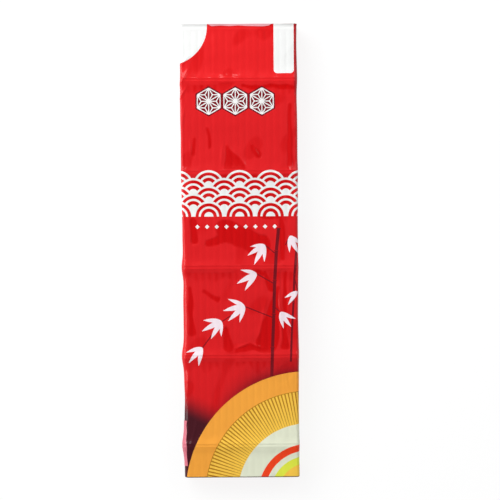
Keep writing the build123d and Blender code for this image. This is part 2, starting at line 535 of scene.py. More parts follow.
# How tightly the closed end's edge turns in, and how far
LIP_ROUND = 0.9 * MM
END_LIP = 1.6 * MM

# Where the top edges stand: left at the closed end, what it gains towards the
# mouth, left at the twine rows, and right; and how far each foot stands past them
LEFT_EDGE, LEFT_GAIN, LEFT_AT_TWINE, RIGHT_EDGE = 30.55 * MM, 1.0 * MM, 31.45 * MM, 31.15 * MM
LEFT_FLARE, RIGHT_FLARE = 0.5, 0.3

# The turned-up ear of the closed end: from y, length, and outer edge in mm
EAR_START, EAR_LENGTH, EAR_OUTER = -115.6, 24.4, -35.5

# The turned part of the mouth's edge: from u, and length in mm
TURN_START, TURN_LENGTH = -16.5, 34.3

# Half the step over which the film's normals are measured
NORMAL_STEP = 0.06 * MM

# The film is drawn in towards the mat's left edge most at this place
HUG_PLACE = -81 * MM
HUG_REACH = 11 * MM

# Creases from one place of the sheet to another: u, y, u, y, width and height in mm
CREASES = (
    (-31.5, 99.5, -27.0, 105.0, 0.7, 0.30),
    (-32.5, 88.0, -27.5, 97.5, 0.8, 0.35),
    (-32.5, 80.5, -28.5, 88.0, 0.6, 0.30),
    (-31.0, 66.0, -29.0, 79.0, 0.7, 0.22),
    (-6.5, 56.5, 5.4, 43.7, 0.9, 0.30),
    (-8.8, 57.5, -10.0, 45.0, 0.6, 0.16),
    (6.0, 58.5, 11.5, 49.0, 0.7, 0.22),
    (-26.5, 60.5, -26.0, 50.0, 0.6, 0.20),
    (20.5, -9.0, 22.5, -52.0, 0.7, 0.26),
    (26.3, -12.0, 25.0, -50.0, 0.8, 0.26),
    (11.8, -11.5, 19.0, -22.5, 0.6, 0.20),
    (-3.5, -52.5, 5.0, -49.8, 0.6, 0.22),
    (5.0, -49.8, 13.0, -52.8, 0.6, 0.22),
    (-9.0, -42.0, -4.5, -53.0, 0.7, 0.16),
    (14.5, -24.0, 9.0, -50.0, 0.9, 0.20),
    (27.5, 80.0, 28.3, 24.0, 0.9, 0.20),
    (23.0, 16.0, 24.0, -5.0, 0.8, 0.14),
    (-27.5, -62.0, -30.5, -88.0, 0.8, 0.22),
    (-24.0, -92.0, -30.0, -117.0, 0.9, 0.24),
    (24.0, -66.0, 30.0, -98.0, 0.8, 0.16),
    (16.0, 108.0, 10.5, 121.5, 1.4, 0.14),
    (-12.0, 106.0, -14.5, 121.5, 1.4, 0.14),
    (34.0, 60.0, 41.0, 20.0, 1.0, 0.20),
    (35.0, -30.0, 41.0, -75.0, 1.0, 0.20),
    (-34.0, 40.0, -41.0, 5.0, 1.0, 0.20),
    (-35.0, -20.0, -40.0, -50.0, 1.0, 0.20),
)

# Where the film lies tight on the slats: u, y and radius at both ends, in mm. The ink is painted deeper
# there as a painted sheen, so the loose film around them looks lighter and hazier.
TIGHT_PLACES = (
    (-6.6, 55.8, 0.8, -2.6, 44.0, 6.0),
    (7.0, 57.0, 1.1, 10.0, 51.0, 1.7),
    (-24.2, 59.5, 0.9, -24.6, 52.0, 1.3),
    (-20.0, 36.0, 5.5, 21.0, 34.5, 6.0),
    (-23.0, 25.5, 4.5, 20.0, 23.0, 6.0),
    (-25.0, 15.5, 1.9, -24.3, 5.0, 1.5),
    (-8.0, 12.0, 5.0, 10.5, 2.5, 6.0),
    (-17.0, 4.0, 1.5, -6.0, 8.0, 4.0),
    (22.5, 17.0, 1.1, 22.8, -4.0, 1.3),
    (8.5, -10.5, 1.0, 11.5, -12.5, 1.2),
    (13.0, -11.5, 0.8, 17.0, -20.5, 1.9),
    (-2.5, -54.0, 0.8, 5.0, -51.6, 1.8),
    (5.0, -51.6, 1.8, 12.0, -54.0, 0.8),
    (-7.5, -43.0, 1.6, -6.5, -52.0, 2.6),
    (20.0, -20.0, 0.8, 14.5, -49.0, 6.2),
    (24.4, -12.0, 0.7, 24.0, -52.0, 1.7),
    (27.4, 78.0, 1.0, 27.4, 26.0, 1.8),
    (2.0, 88.6, 0.7, 12.0, 87.6, 1.3),
    (14.0, 88.4, 1.0, 29.0, 87.8, 1.2),
    (-17.0, 65.0, 0.6, -16.0, 56.0, 0.9),
    (-27.0, -20.0, 1.0, -26.0, -44.0, 1.8),
    (-20.0, -22.0, 0.8, -12.0, -26.0, 1.4),
)


def smooth(value):
    """An even step from 0 to 1."""
    value = np.clip(value, 0, 1)
    return value * value * (3 - 2 * value)


def bell(distance, width):
    """1 at no distance, and near 0 from two widths on."""
    return np.exp(-((distance / width) ** 2))


def waves(u, y, size, seed):
    """Smooth unevenness between about -1 and 1, in swells of this size."""
    draw = np.random.default_rng(seed)
    total, count = 0, 6
    for _ in range(count):
        angle, phase = draw.uniform(0, 2 * np.pi, 2)
        wave = size * draw.uniform(0.7, 1.6)
        total = total + np.sin((u * np.cos(angle) + y * np.sin(angle)) * 2 * np.pi / wave + phase)
    return total / (1.3 * math.sqrt(count))


def from_segment(u, y, u0, y0, u1, y1):
    """Distance from a straight piece on the sheet, and how far along it that is."""
    du, dy = u1 - u0, y1 - y0
    share = np.clip(((u - u0) * du + (y - y0) * dy) / (du * du + dy * dy), 0, 1)
    return np.hypot(u - u0 - share * du, y - y0 - share * dy), share


def unit(vectors):
    """The vectors at length 1."""
    return vectors / np.maximum(np.linalg.norm(vectors, axis=-1), 1e-12)[..., None]


def surface_normals(place, a, b):
    """Unit normals of the surface that place gives for two coordinates."""
    first = place(a + NORMAL_STEP, b) - place(a - NORMAL_STEP, b)
    second = place(a, b + NORMAL_STEP) - place(a, b - NORMAL_STEP)
    return unit(np.cross(first, second))


def from_row(y):
    """Distance from the nearest twine row."""
    return np.min([np.abs(y - row) for row in ROWS], axis=0)


def hug(y):
    """How much the film is drawn in towards the mat's left edge."""
    return bell(y - HUG_PLACE, HUG_REACH)


def slat_crowns(u):
    """1 along the middle of each slat of the top layer, 0 in the gaps."""
    return ((1 - np.cos(2 * np.pi * u / PITCH)) / 2) ** 1.5


def beside_twine(u, y):
    """Share to which the film rests on the slats' crowns alone, just below each twine row."""
    touch = 0.0 * u
    for number, row in enumerate(ROWS):
        below = row - y
        reach = (8.0 + 2.5 * waves(u, 0, 9 * MM, 50 + number)) * MM
        band = smooth((below - 2.4 * MM) / MM) * smooth((reach - below) / (2.5 * MM))
        strength = 0.5 + 0.35 * waves(u, 0, 26 * MM, 56 + number)
        touch = np.maximum(touch, band * strength)
    return touch


def tightness(u, y):
    """From 0, where air lies under the film, to 1, where it clings to the slats. The film's inks darken by
    this share, as a painted sheen and shade.
    """
    wander_u = u + 0.5 * MM * waves(u, y, 7 * MM, 3)
    wander_y = y + 0.5 * MM * waves(u, y, 7 * MM, 4)
    cling = 0.0 * u
    for place in TIGHT_PLACES:
        u0, y0, r0, u1, y1, r1 = np.array(place) * MM
        distance, share = from_segment(wander_u, wander_y, u0, y0, u1, y1)
        radius = r0 + (r1 - r0) * share
        cling = np.maximum(cling, smooth((radius - distance) / (1.0 * MM) + 0.6))
    loose = 0.5 * smooth((waves(u, y, 19 * MM, 8) - 0.45) * 2.2)
    # Below each twine row the film rests on the slats' crowns, and its ink is painted deeper there, as shade
    # across the ribs.
    cling = np.maximum(np.maximum(cling, loose), beside_twine(u, y) * (0.35 + 0.65 * slat_crowns(u)))
    # Over each twine row the ink keeps its lighter colour, a painted sheen along the ridge.
    on_twine = smooth((1.5 * MM - from_row(y)) / (0.6 * MM) + 0.5)
    cling = cling * (1 - 0.9 * on_twine)
    # The slat-crown term paints shade across the ribs: the ink is a little deeper over each slat's middle.
    return np.clip(cling + 0.07 * (slat_crowns(u) - 0.4) * (1 - 0.6 * cling), 0, 1)


def creases(u, y):
    """Height of the film's creases, which fade out towards their ends."""
    height = 0.0 * u
    for crease in CREASES:
        u0, y0, u1, y1, width, rise = np.array(crease) * MM
        distance, share = from_segment(u, y, u0, y0, u1, y1)
        height = height + rise * bell(distance, width) * np.sin(np.pi * (0.08 + 0.84 * share))
    return height


def twine_ridges(u, y):
    """Share of the height that each twine row lifts the film by."""
    lift = 0.0 * u
    for number, row in enumerate(ROWS):
        slack = (2.5 + 0.9 * waves(u, 0, 15 * MM, 20 + number)) * MM
        past = np.maximum(np.abs(y - row) - 0.95 * MM, 0)
        lift = np.maximum(lift, 1 / (1 + (past / slack) ** 1.9))
    return lift


def side_place(side, y):
    """How far out the film's top edge stands on one side, hugging the mat in the lower half."""
    rows = sum(bell(y - row, 5.5 * MM) for row in ROWS)
    left = LEFT_EDGE + LEFT_GAIN * smooth((y + 25 * MM) / (90 * MM)) + 0.1 * MM * waves(y, 0, 21 * MM, 31)
    left = left - 0.4 * MM * hug(y)
    left = left + np.maximum(LEFT_AT_TWINE - left, 0) * np.minimum(rows, 1)
    right = RIGHT_EDGE + 0.1 * MM * waves(y, 0, 27 * MM, 32) + 0.15 * MM * rows
    return np.where(side < 0, left, right)


def section(u, y, edge_round):
    """The film's plain run round the pack: x, z, its outward x and z, and how far it has turned."""
    side = np.where(u < 0, -1.0, 1.0)
    top = TOP_SLATS + TOP_AIR
    half = side_place(side, y)
    # The left edge is rounder in the lower half, where a highlight runs along it
    edge_round = edge_round * np.where(side < 0, 0.75 + 0.7 * smooth((25 * MM - y) / (40 * MM)), 1.0)
    flare = np.where(side < 0, LEFT_FLARE - 0.35 * hug(y), RIGHT_FLARE) * MM
    flare = flare + 0.12 * MM * waves(y, side, 33 * MM, 33)
    flat = half - edge_round
    corner = edge_round * np.pi / 2
    foot = FOOT_ROUND * np.pi / 2
    distance = np.abs(u)
    turn = np.clip((distance - flat) / edge_round, 0, np.pi / 2)
    x = np.minimum(distance, flat) + edge_round * np.sin(turn)
    z = top - edge_round * (1 - np.cos(turn))
    wall = top - edge_round - FOOT_ROUND - REST_LEVEL
    run = np.maximum(distance - flat - corner, 0) / (SHEET_HALF - flat - corner) * (wall + foot + TUCK)
    drop = np.minimum(run, wall)
    x = x + flare * smooth(drop / wall)
    z = z - drop
    under = np.clip((run - wall) / FOOT_ROUND, 0, np.pi / 2)
    x = x - FOOT_ROUND * (1 - np.cos(under)) - np.maximum(run - wall - foot, 0)
    z = z - FOOT_ROUND * np.sin(under)
    turn = turn + under
    return side * x, z, side * np.sin(turn), np.cos(turn), turn


def relief(u, y, turn, film):
    """How far the film stands off its plain run round the pack."""
    front = np.cos(np.minimum(turn, np.pi / 2)) ** 2
    above = smooth((np.pi / 2 + 0.15 - turn) / 0.3)
    cling = tightness(u, y)
    gap = ((1 + np.cos(2 * np.pi * u / PITCH)) / 2) ** 2
    unlike = 0.85 + 0.25 * waves(u, y / 9, 8 * MM, 41)
    beyond_slats = smooth((SLAT_HIGH[1] + 0.5 * MM - y) / (1.5 * MM))
    ribs = -film.rib_depth * gap * unlike * (0.85 + 0.5 * cling) * beyond_slats
    ridges = twine_ridges(u, y)
    straps = 0.06 * MM * np.cos(np.pi * u / PITCH)
    straps = straps + 0.1 * MM * bell(from_row(y) - 0.8 * MM, 0.35 * MM)
    slack = 0.13 * MM * (1 + waves(u, y, 24 * MM, 42)) + 0.04 * MM * waves(u, y, 7 * MM, 43)
    slack = slack * (1 - 0.85 * cling)
    lift = np.maximum(ridges * (film.ridge_height + straps), 0)
    face = np.maximum(lift + slack * (1 - ridges), 0) + ribs * (1 - ridges) + creases(u, y)
    wall = 0.16 * MM * (1 + waves(u, y, 17 * MM, 44)) + creases(u, y) + 0.1 * MM * ridges
    # The open mouth dips past the slats' ends and its cut edge curls up again
    past = np.clip((y - SLAT_HIGH[1] - 0.3 * MM) / (MOUTH - SLAT_HIGH[1] - 0.3 * MM), 0, 1)
    curl = 0.55 + 0.45 * waves(u, 0, 13 * MM, 45)
    mouth = -0.14 * MM * np.sin(np.pi * past) + 0.6 * MM * past**3 * curl
    return front * face + (1 - front) * wall * above + mouth * (0.3 + 0.7 * front) * above


def film_points(u, y, film, lift=0.0):
    """Points of places on the sheet, with the closed end's edge turned in."""
    turn_start = CLOSED_END + LIP_ROUND
    turned = np.clip((turn_start - y) / LIP_ROUND, 0, np.pi / 2)
    beyond = np.maximum(turn_start - y - LIP_ROUND * np.pi / 2, 0)
    place_y = np.maximum(y, turn_start) - LIP_ROUND * np.sin(turned)
    inward = LIP_ROUND * (1 - np.cos(turned)) + beyond
    x, z, out_x, out_z, turn = section(u, place_y, film.edge_round)
    # The lip is narrower round the foot, whose curve it would otherwise fold over
    inward = inward - smooth((turn - np.pi / 2) / 0.3) * np.maximum(inward - 0.9 * FOOT_ROUND, 0)
    rise = relief(u, place_y, turn, film) + lift - inward
    return np.stack((x + out_x * rise, place_y, np.maximum(z + out_z * rise, REST_LEVEL / 2)), -1)


def film_normals(u, y, film, lift=0.0):
    """Outward directions of the film at places on the sheet."""
    return surface_normals(lambda a, b: film_points(a, b, film, lift), u, y)


# --- The sleeve's print: plain traditional motifs, as outlines on the flat sheet ---

# Shapes that run off the sheet end this far out, at a side and at the mouth
OFF_SIDE, OFF_MOUTH = 60 * MM, 130 * MM

# The bare white places: the quarter round's centre and radius, and the tab's
# left, right and lower edge and the radius of its corners
FLASH_CENTRE, FLASH_RADIUS = (-38.1 * MM, 121.1 * MM), 21.1 * MM
TAB_LEFT, TAB_RIGHT, TAB_LOW, TAB_ROUND = 18.8 * MM, 29.6 * MM, 95.4 * MM, 1.8 * MM

# The bands of motifs across the front: their middle, and for each its level in mm,
# the size of its motif and their spacing, or how many rows overlap
BAND_MIDDLE = -2.0
TILE_LEVEL, TILE_RADIUS, TILE_STEP = 80.5, 8.2, 14.3
WAVE_LEVEL, WAVE_RADIUS, WAVE_ROWS = 18.5, 8.3, 5
DIAMOND_LEVEL, DIAMOND_HALF, DIAMOND_STEP = 13.0, 1.2, 5.2

FAN_CENTRE = np.array((36.0, -131.0)) * MM
FAN_RADIUS = 66 * MM
# The fan's inner rings, from the outside in: ink, and share of its radius
FAN_RINGS = (("cream", 0.575), ("vermilion", 0.41), ("cream", 0.355), ("lime", 0.31), ("gold", 0.25))


def arc(centre, radius, first, last, step=0.55 * MM):
    """Points on part of a circle, the angles in degrees."""
    sweep = math.radians(last - first)
    count = max(int(abs(sweep) * radius / step), 6)
    angle = np.linspace(math.radians(first), math.radians(last), count)
    return np.array(centre) + radius * np.stack((np.cos(angle), np.sin(angle)), -1)


def corner_flash():
    """A bare white quarter round over the pack's upper left corner."""
    edge = arc(FLASH_CENTRE, FLASH_RADIUS, -80, 0)
    beyond = [(-17.0 * MM, OFF_MOUTH), (-OFF_SIDE, OFF_MOUTH), (-OFF_SIDE, edge[0][1])]
    return np.concatenate((edge, beyond))


def rounded_tab():
    """A bare white tab that hangs from the mouth, with rounded lower corners."""
    lower_left = arc((TAB_LEFT + TAB_ROUND, TAB_LOW + TAB_ROUND), TAB_ROUND, 180, 270)
    lower_right = arc((TAB_RIGHT - TAB_ROUND, TAB_LOW + TAB_ROUND), TAB_ROUND, 270, 360)
    return np.concatenate((lower_left, lower_right, [(TAB_RIGHT, OFF_MOUTH), (TAB_LEFT, OFF_MOUTH)]))


def bar(start, end, width):
    """A straight bar between two points."""
    start, end = np.array(start), np.array(end)
    across = (end - start)[::-1] * (-1, 1) / np.linalg.norm(end - start) * width / 2
    return np.array((start + across, end + across, end - across, start - across))


def hemp_leaf_tile(centre, radius):
    """A hexagonal hemp-leaf tile: its maroon plate and its white lines."""
    centre = np.array(centre)
    corners = [centre + radius * np.array((math.sin(a), math.cos(a))) for a in np.radians(range(0, 360, 60))]
    shapes = [("maroon", np.array(corners))]
    line = 0.55 * MM
    for first, second in zip(corners, corners[1:] + corners[:1]):
        first, second = centre + (first - centre) * 0.86, centre + (second - centre) * 0.86
        kite = (first + second + centre) / 3
        shapes.append(("white", bar(first, second, line)))
        shapes.append(("white", bar(centre, first, line)))
        for end in (first, second, centre):
            shapes.append(("white", bar(end, kite, line)))
    return shapes


# The rings of one wave scale, from the outside in: share of its radius, and ink
SCALE_RINGS = ((1.0, "white"), (0.86, "ground"), (0.66, "white"), (0.52, "ground"), (0.3, "white"))


def wave_band(bottom, rows, radius):
    """Rows of white wave scales, each row over the one above, on the ground."""
    shapes = []
    for row in reversed(range(rows)):
        level = bottom + row * radius / 2
        for number in range(-4, 5):
            middle = (2 * number + row % 2) * radius
            for share, ink in SCALE_RINGS:
                dome = arc((middle, level), radius * share, 0, 180)
                foot = max(level - radius / 2, bottom)
                skirt = np.array(((middle - radius * share, foot), (middle + radius * share, foot)))
                shapes.append((ink, np.concatenate((dome, skirt))))
    low = bottom - radius
    strip = ((-OFF_SIDE, low), (OFF_SIDE, low), (OFF_SIDE, bottom), (-OFF_SIDE, bottom))
    shapes.append(("ground", np.array(strip)))
    return shapes


def leaf(base, angle, size):
    """One slender leaf from its base, bent a little."""
    share = np.linspace(0, 1, 22)
    half = size * 0.115 * np.sin(np.pi * share**0.75) ** 0.9
    bend = size * 0.1 * share**2
    outline = np.concatenate(
        (np.stack((share * size, bend + half), -1), np.stack((share * size, bend - half), -1)[::-1])
    )
    c, s = math.cos(math.radians(angle)), math.sin(math.radians(angle))
    return outline @ np.array(((c, s), (-s, c))) + np.array(base)


def cane(points, width):
    """A jointed cane through these points, one bar for each length between joints."""
    shapes = []
    for start, end in zip(points, points[1:]):
        start, end = np.array(start) * MM, np.array(end) * MM
        gap = (end - start) / np.linalg.norm(end - start) * 0.25 * MM
        shapes.append(("maroon", bar(start + gap, end - gap, width)))
        shapes.append(("maroon", bar(end - 1.2 * gap, end + gap * 0.4, width * 1.35)))
    return shapes


# Leaf clusters: place in mm, and the angle and length in mm of each leaf
LEAF_CLUSTERS = (
    ((13.5, 3.0), ((205, 11), (235, 12), (262, 9), (180, 8))),
    ((9.0, -12.5), ((160, 9), (200, 12), (228, 11))),
    ((2.5, -30.0), ((150, 10), (185, 12), (215, 12), (245, 9))),
    ((27.0, 8.0), ((320, 9), (290, 11), (262, 9))),
    ((-10.0, -38.0), ((170, 10), (200, 12), (232, 11), (262, 8))),
    ((21.5, -33.0), ((300, 10), (330, 9), (275, 9))),
    ((-20.5, -52.0), ((190, 9), (222, 11), (252, 10))),
    ((31.0, -22.0), ((200, 8), (228, 9))),
)

# Twigs that carry the clusters, from the cane to the leaves, in mm
TWIGS = (
    ((19.5, -2.0), (13.5, 3.0)),
    ((18.6, -18.0), (9.0, -12.5)),
    ((17.4, -36.0), (2.5, -30.0)),
    ((24.5, 3.0), (27.0, 8.0)),
    ((2.5, -30.0), (-10.0, -38.0)),
    ((17.8, -30.0), (21.5, -33.0)),
    ((-10.0, -38.0), (-20.5, -52.0)),
    ((29.0, -14.0), (31.0, -22.0)),
)


# The two canes: width, and places of their joints from the foot up, in mm
CANES = (
    (1.7, ((16.6, -70), (17.2, -52), (18.0, -34), (18.6, -16), (19.6, 0), (20.8, 12))),
    (1.1, ((27.0, -60), (27.6, -44), (28.6, -28), (29.2, -13), (30.4, 2))),
)


def fan():
    """A large paper fan that opens from the lower right corner."""
    shapes = []

    def ring(ink, radius):
        shapes.append((ink, np.concatenate((arc(FAN_CENTRE, radius, 60, 190), [FAN_CENTRE]))))

    ring("orange", FAN_RADIUS)
    ring("brass", FAN_RADIUS * 0.84)
    for number in range(62):
        angle = math.radians(62 + number * 2)
        ray = np.array((math.cos(angle), math.sin(angle)))
        inner, outer = (FAN_CENTRE + ray * FAN_RADIUS * share for share in (0.5, 0.835))
        shapes.append(("gold", bar(inner, outer, 1.15 * MM)))
    for ink, share in FAN_RINGS:
        ring(ink, FAN_RADIUS * share)
    return shapes


def print_shapes():
    """Every printed shape in the order that it is laid down: its ink and its outline. The dark band over the
    closed end is partly painted shade.
    """
    shapes = [("white", corner_flash()), ("white", rounded_tab())]
    for number in (-1, 0, 1):
        middle = BAND_MIDDLE + TILE_STEP * number
        shapes += hemp_leaf_tile((middle * MM, TILE_LEVEL * MM), TILE_RADIUS * MM)
    shapes += wave_band(WAVE_LEVEL * MM, WAVE_ROWS, WAVE_RADIUS * MM)
    half = DIAMOND_HALF
    diamond = np.array(((0, half), (-half, 0), (0, -half), (half, 0))) * MM
    for number in range(-4, 5):
        middle = BAND_MIDDLE + DIAMOND_STEP * number
        shapes.append(("white", np.array((middle, DIAMOND_LEVEL)) * MM + diamond))
    for width, joints in CANES:
        shapes += cane(joints, width * MM)
    for start, end in TWIGS:
        shapes.append(("maroon", bar(np.array(start) * MM, np.array(end) * MM, 0.5 * MM)))
    for place, leaves in LEAF_CLUSTERS:
        for angle, size in leaves:
            shapes.append(("petal", leaf(np.array(place) * MM, angle, size * MM)))
    shapes += fan()
    # A dark band over the turned-in closed end: partly dark print, partly painted shade of the fold and its
    # contact shadow.
    end = CLOSED_END + 0.5 * MM
    shapes.append(("dark", bar((-OFF_SIDE, end - 5 * MM), (OFF_SIDE, end - 5 * MM), 10 * MM)))
    return shapes


def inside(points, outline):
    """Which points lie in an outline."""
    found = np.zeros(len(points), dtype=bool)
    low, high = outline.min(0), outline.max(0)
    near = np.flatnonzero(((points >= low) & (points <= high)).all(1))
    if not len(near):
        return found
    u, y = points[near].T
    crossings = np.zeros(len(near), dtype=int)
    for (u0, y0), (u1, y1) in zip(outline, np.roll(outline, -1, axis=0)):
        if y0 == y1:
            continue
        between = (y0 > y) != (y1 > y)
        crossings += between & (u < (u1 - u0) * (y - y0) / (y1 - y0) + u0)
    found[near] = crossings % 2 == 1
    return found


def outline_segments(outline, step=0.6 * MM):
    """An outline's edges, cut into short pieces."""
    for start, end in zip(outline, np.roll(outline, -1, axis=0)):
        count = max(int(np.linalg.norm(end - start) / step), 1)
        marks = start + (end - start) * np.linspace(0, 1, count + 1)[:, None]
        yield from zip(marks[:-1], marks[1:])


def sheet_levels(low, high):
    """Places along the slats for the sheet's rows of points, closer at the twine and both ends."""
    levels = [low]
    while levels[-1] < high:
        place = levels[-1]
        fine = from_row(place) < 4 * MM or place < CLOSED_END + 2 * MM or place > SLAT_HIGH[1] - 1 * MM
        levels.append(place + (0.36 if fine else 0.72) * MM)
    levels[-1] = high
    return np.array(levels)


def print_mesh(low, high):
    """Triangles of the flat sheet whose edges follow every printed outline, and each one's ink."""
    across = PITCH / 6
    columns = np.arange(-math.ceil(SHEET_HALF / across) + 1, math.ceil(SHEET_HALF / across)) * across
    levels = sheet_levels(low, high)
    grid = []
    for number, level in enumerate(levels):
        inner = columns + (across / 2 if number % 2 else 0)
        if level in (low, high):
            inner = columns
        inner = inner[np.abs(inner) < SHEET_HALF - 0.2 * MM]
        places = np.concatenate(([-SHEET_HALF], inner, [SHEET_HALF]))
        grid.append(np.stack((places, np.full(len(places), level)), -1))
    points = [np.concatenate(grid)]
    shapes = print_shapes()
    ends = []
    for _, outline in shapes:
        for start, end in outline_segments(outline):
            within = all(abs(p[0]) < SHEET_HALF and low < p[1] < high for p in (start, end))
            if within:
                ends += [start, end]
    first = len(points[0])
    points.append(np.array(ends))
    edges = (first + np.arange(len(ends)).reshape(-1, 2)).tolist()
    flat = [Vector(p) for p in np.concatenate(points) / MM]
    found, _, faces, *_ = delaunay_2d_cdt(flat, edges, [], 0, 1e-4, False)
    found = np.array([tuple(p) for p in found]) * MM
    faces = np.array([f for f in faces if len(f) == 3])
    a, b, c = (found[faces[:, i]] for i in range(3))
    area = (b[:, 0] - a[:, 0]) * (c[:, 1] - a[:, 1]) - (b[:, 1] - a[:, 1]) * (c[:, 0] - a[:, 0])
    faces = np.where(area[:, None] < 0, faces[:, ::-1], faces)
    faces = faces[np.abs(area) > 1e-13]
    middles = found[faces].mean(axis=1)
    inks = np.full(len(faces), INKS.index("ground"))
    for ink, outline in shapes:
        inks[inside(middles, outline)] = INKS.index(ink)
    return found, faces, inks


INKS = (
    "ground", "white", "maroon", "petal", "orange", "gold", "brass", "cream",
    "vermilion", "lime", "dark", "rim", "reverse",
)


def shading(u, y):
    """Maroon shading over the ground and above the fan, and the dark foot of the print at the left. The
    shading above the fan and the foot are print. At the right edge and over the lower half it is painted
    shade.
    """
    from_fan = np.hypot(u - FAN_CENTRE[0], y - FAN_CENTRE[1]) - FAN_RADIUS
    above_fan = 0.85 * np.exp(-np.maximum(from_fan, 0) / (5.5 * MM)) * smooth((u + 30 * MM) / (40 * MM))
    # Painted shade: the ground darkens below the upper end, where less light falls.
    painted_lower_shade = 0.11 * smooth((95 * MM - y) / (20 * MM))
    # Painted shade along the right edge, where the film turns away from the lamps, deepest towards the
    # mouth.
    painted_right_edge_shade = 0.5 * smooth((u - 29.2 * MM) / MM) * (0.35 + 0.65 * smooth((y - 80 * MM) / (8 * MM)))
    foot = smooth((-88 * MM - y - 0.5 * u) / (16 * MM))
    return np.maximum(np.maximum(above_fan, painted_right_edge_shade), painted_lower_shade), foot


# --- The sleeve's film pieces ---


class Film:
    """Patches of film that are joined into one thin, closed shell."""

    def __init__(self, thickness):
        self.thickness = thickness
        self.points, self.normals, self.faces, self.inks, self.marks = [], [], [], [], []
        self.count = 0

    def add(self, points, normals, faces, inks, marks):
        """One patch: its outer side, its outward directions, and its ink and marks."""
        corners = points[faces]
        facing = np.cross(corners[:, 1] - corners[:, 0], corners[:, 2] - corners[:, 0])
        if np.sum(facing * normals[faces[:, 0]]) < 0:
            faces = faces[:, ::-1]
        self.points.append(points)
        self.normals.append(normals)
        self.faces.append(faces + self.count)
        self.inks.append(np.broadcast_to(inks, len(faces)))
        self.marks.append(marks)
        self.count += len(points)

    def add_grid(self, points, normals, ink):
        """One patch laid out as a grid of places, in one ink and without marks."""
        rows, columns, _ = points.shape
        points, normals = points.reshape(-1, 3), normals.reshape(-1, 3)
        self.add(points, normals, grid_faces(rows, columns), INKS.index(ink), np.zeros((len(points), 3)))

    def build(self, name, materials):
        """The joined object, with an inner side and closed rims."""
        outer, normals = np.concatenate(self.points), np.concatenate(self.normals)
        faces, inks = np.concatenate(self.faces), np.concatenate(self.inks)
        marks = np.concatenate(self.marks)
        inner = outer - normals * self.thickness
        edges = np.concatenate((faces[:, [0, 1]], faces[:, [1, 2]], faces[:, [2, 0]]))
        keys = np.sort(edges, axis=1)
        keys = keys[:, 0] * len(outer) + keys[:, 1]
        _, where, seen = np.unique(keys, return_index=True, return_counts=True)
        rim = edges[where[seen == 1]]
        rims = np.stack((rim[:, 1], rim[:, 0], rim[:, 0] + len(outer), rim[:, 1] + len(outer)), -1)
        all_faces = faces.tolist() + (faces[:, ::-1] + len(outer)).tolist() + rims.tolist()
        reverse = INKS.index("reverse")
        face_inks = np.concatenate((inks, np.full(len(faces), reverse), np.full(len(rims), reverse)))
        piece = make_object(name, np.concatenate((outer, inner)), all_faces, materials, face_inks)
        for mark, values in zip(("cling", "shade", "foot_shade"), marks.T):
            mark_points(piece, mark, np.tile(values, 2))
        piece.data.normals_split_custom_set_from_vertices(np.concatenate((normals, -normals)).tolist())
        return piece


def grid_faces(rows, columns):
    """Triangles of a grid of points, rows first."""
    i, j = np.meshgrid(np.arange(rows - 1), np.arange(columns - 1), indexing="ij")
    a = (i * columns + j).ravel()
    first = np.stack((a, a + 1, a + columns + 1), -1)
    second = np.stack((a, a + columns + 1, a + columns), -1)
    return np.concatenate((first, second))


def sheet_patch(shell, film):
    """The printed front with both sides, its rounded edges and the turned-in closed end."""
    low = CLOSED_END + LIP_ROUND - LIP_ROUND * np.pi / 2 - END_LIP + LIP_ROUND
    flat, faces, inks = print_mesh(low, MOUTH)
    u, y = flat.T
    shade, foot = shading(u, y)
    marks = np.stack((tightness(u, y), shade, foot), -1)
    shell.add(film_points(u, y, film), film_normals(u, y, film), faces, inks, marks)


def turned_film(shell, film, u, y, rise, ink):
    """A grid of places where the film is turned over and lies on itself."""
    shell.add_grid(film_points(u, y, film, rise), film_normals(u, y, film, rise), ink)


def corner_ear(shell, film):
    """The ear of the closed end, turned up along the lower left edge."""
    v, w = np.meshgrid(np.linspace(0, 1, 90), np.linspace(0, 1, 9), indexing="ij")
    y = (EAR_START + EAR_LENGTH * v) * MM
    inner = (-28.7 - 0.6 * np.sin(2.6 * v) + 0.12 * np.sin(19 * v)) * MM
    outer = EAR_OUTER * MM
    u = outer + (inner - outer) * w
    bulge = 0.25 * smooth((v - 0.3) / 0.5) * (1 - w)
    turned_film(shell, film, u, y, (0.1 + 0.12 * w + bulge) * MM, "reverse")


def mouth_turn(shell, film):
    """The cut edge of the mouth, turned over a little along the middle of the front."""
    v, w = np.meshgrid(np.linspace(0, 1, 110), np.linspace(0, 1, 5), indexing="ij")
    u = (TURN_START + TURN_LENGTH * v) * MM
    ends = smooth(v / 0.06) * smooth((1 - v) / 0.05)
    wider = 0.4 * smooth((v - 0.6) / 0.15) * smooth((0.95 - v) / 0.15)
    depth = (0.2 + (0.75 + 0.12 * np.sin(23 * v) + wider) * ends) * MM
    # The turned strip is inked in the pale cut edge colour, a painted highlight along the curl.
    turned_film(shell, film, u, MOUTH - depth * (1 - w), (0.08 + 0.1 * w) * MM, "rim")


def end_patch(shell):
    """The closed end, folded like the end of a parcel: side tucks, then two flaps."""
    half = SLEEVE_HIGH[0] - 1.0 * MM
    top = TOP_SLATS - 0.4 * MM
    edge = 0.3 * MM
    x, z = np.meshgrid(np.arange(-half, half, 0.42 * MM), np.arange(0.1 * MM, top, 0.4 * MM), indexing="ij")

    def place(x, z):
        upper = smooth((half - (top - z) * 1.05 - np.abs(x)) / edge) * smooth((z - 4.2 * MM) / edge)
        lower = smooth((half - z * 1.05 - np.abs(x)) / edge) * smooth((8.8 * MM - z) / edge)
        pucker = 0.05 * MM * waves(x, z, 5 * MM, 61)
        depth = 0.28 * MM * upper + 0.36 * MM * lower + pucker
        return np.stack((x, CLOSED_END + 0.42 * MM - depth, z), -1)

    shell.add_grid(place(x, z), surface_normals(place, x, z), "ground")


